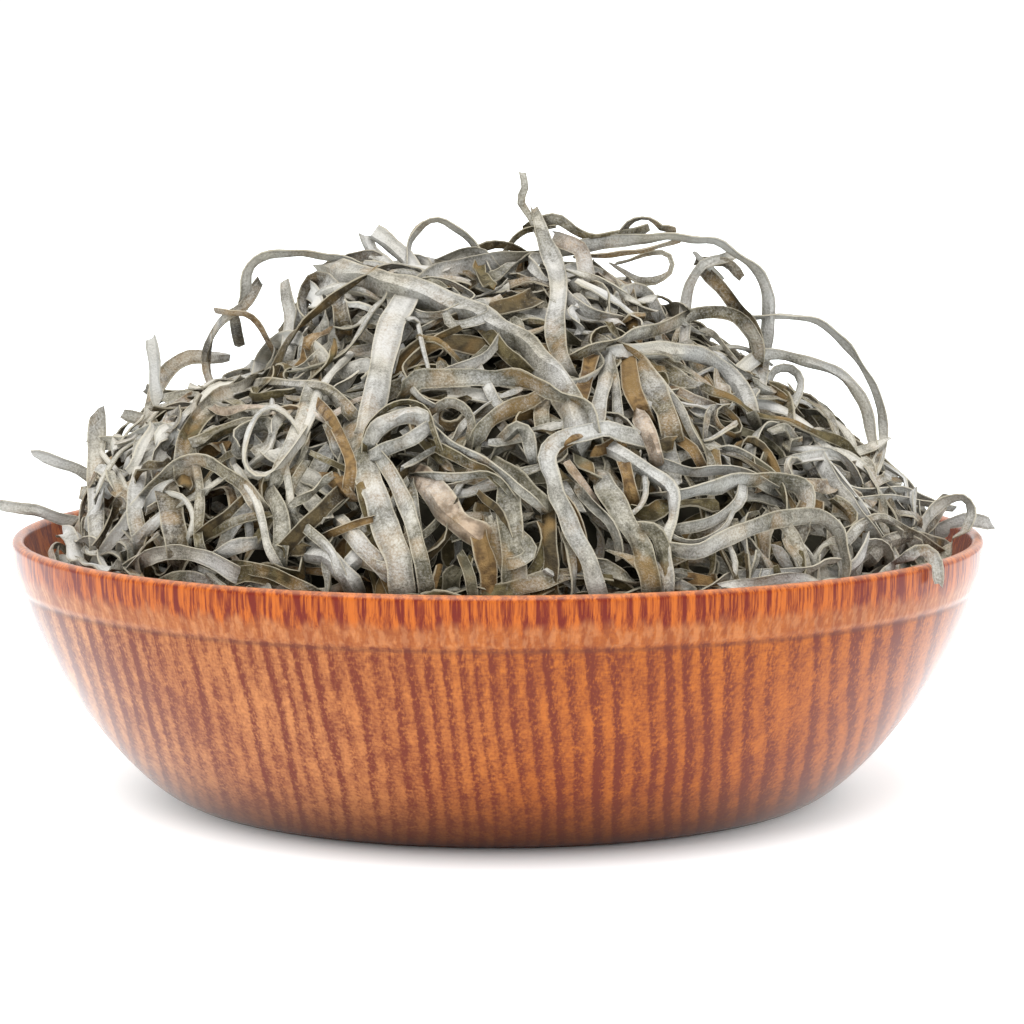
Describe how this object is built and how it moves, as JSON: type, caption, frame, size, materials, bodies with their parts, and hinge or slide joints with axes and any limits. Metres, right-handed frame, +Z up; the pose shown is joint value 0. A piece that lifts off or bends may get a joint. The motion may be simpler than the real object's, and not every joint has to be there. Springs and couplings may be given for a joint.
{
  "type": "bowl of shredded dried kelp",
  "caption": "Heap of shredded dried kelp, flat torn grey-green ribbons, in a shallow turned wooden bowl on a flat base",
  "frame": {"origin": "centre of the bowl's flat base, on the surface it stands on", "axes": "+Z up along the bowl's axis, -Y the side the picture shows, +X to its right"},
  "size_m": [0.1836, 0.18, 0.1145],
  "materials": {
    "lacquered_wood": "clear gloss lacquer over orange-brown wood with dark upright grain",
    "dried_kelp": "matte, dusted with pale powder, thin lighter edges"
  },
  "bodies": {
    "root": {"bowl": "lacquered_wood", "kelp": "dried_kelp"}
  },
  "joints": []
}
